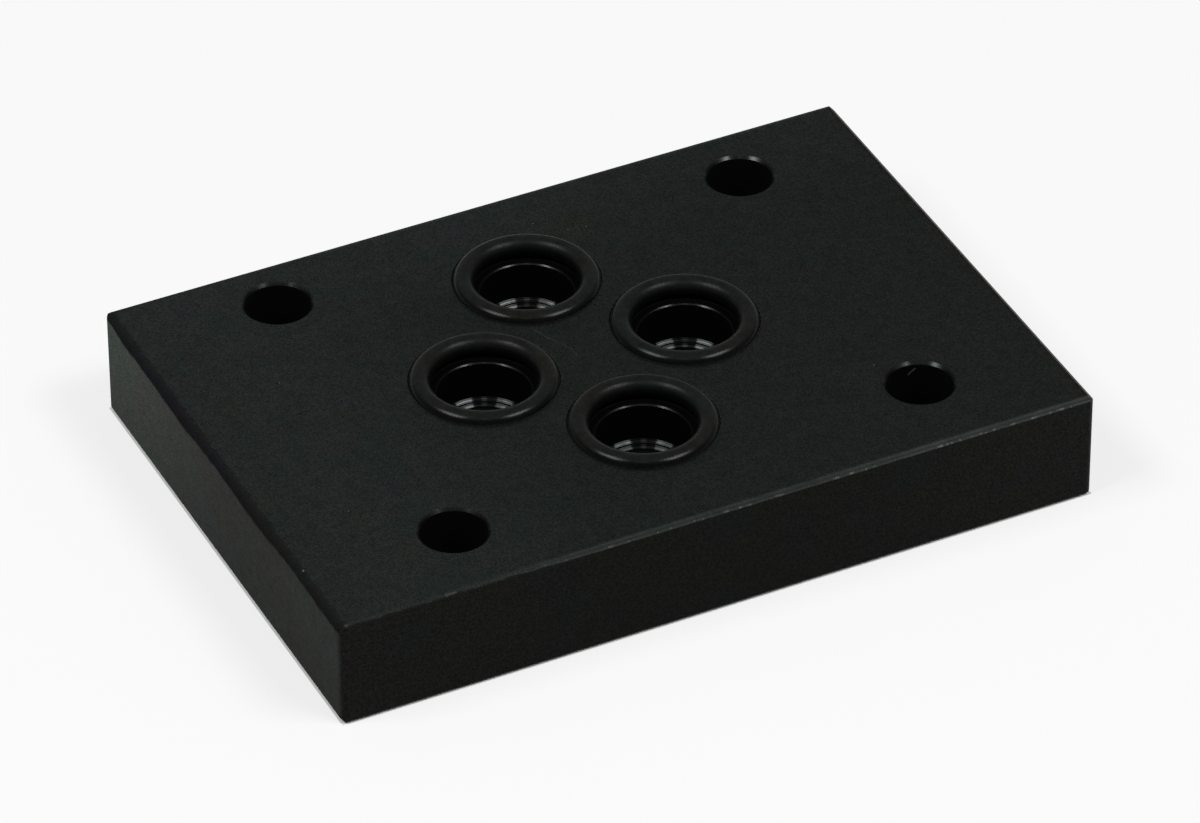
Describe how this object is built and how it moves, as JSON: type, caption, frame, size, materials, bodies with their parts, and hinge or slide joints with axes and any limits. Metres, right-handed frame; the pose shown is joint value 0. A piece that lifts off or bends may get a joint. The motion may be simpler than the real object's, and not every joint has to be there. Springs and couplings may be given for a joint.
{
  "type": "hydraulic valve station blanking plate",
  "caption": "Flat black steel plate that closes a size 03 valve station: blind ports with proud O-rings on its sealed face and plain holes for screws at the corners.",
  "frame": {"origin": "centre of the plate's outline on its plain back face, which it lies on with the sealed face up", "axes": "+X along the long side towards the narrow pair of screw holes, +Y along the short side towards port P, +Z out of the sealed face"},
  "size_m": [0.0646, 0.0446, 0.01],
  "materials": {
    "blackened_steel": "satin",
    "nitrile_rubber": "satin"
  },
  "bodies": {
    "root": {"plate": "blackened_steel", "o_ring_p": "nitrile_rubber", "o_ring_t": "nitrile_rubber", "o_ring_a": "nitrile_rubber", "o_ring_b": "nitrile_rubber"}
  },
  "joints": []
}
